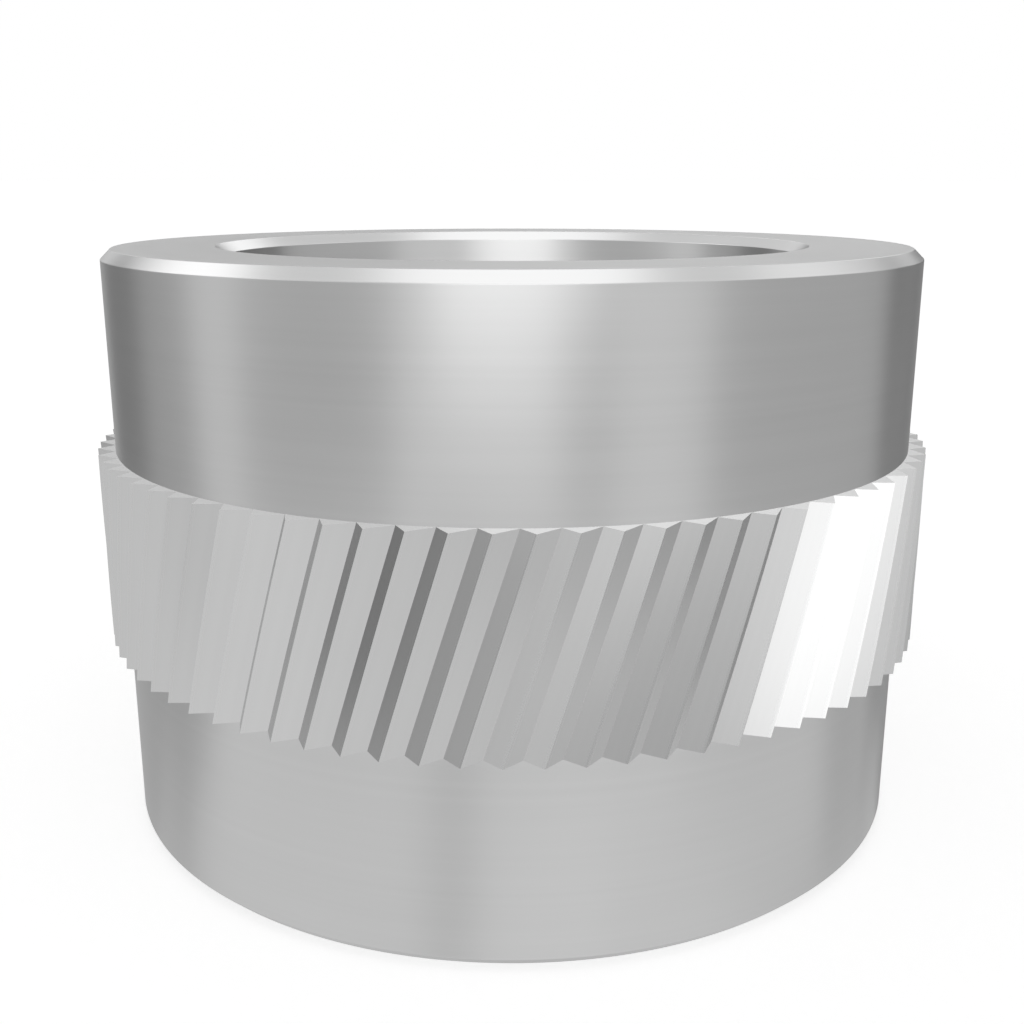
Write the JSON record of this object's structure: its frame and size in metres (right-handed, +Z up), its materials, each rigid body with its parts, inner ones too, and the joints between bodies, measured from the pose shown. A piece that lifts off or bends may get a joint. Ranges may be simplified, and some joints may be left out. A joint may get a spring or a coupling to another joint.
{
  "type": "compression limiter",
  "caption": "Short round metal sleeve with a through bore, small chamfers at both ends and a raised helical V-knurled band round its middle; carries bolt clamp load through a plastic part.",
  "frame": {"origin": "middle of the bottom face, on the bore's axis", "axes": "+Z up along the bore's axis; -Y is the front that the picture shows"},
  "size_m": [0.0132, 0.0132, 0.009],
  "materials": {
    "turned_aluminium": "fine turned, satin"
  },
  "bodies": {
    "root": {"limiter_body": "turned_aluminium"}
  },
  "joints": []
}
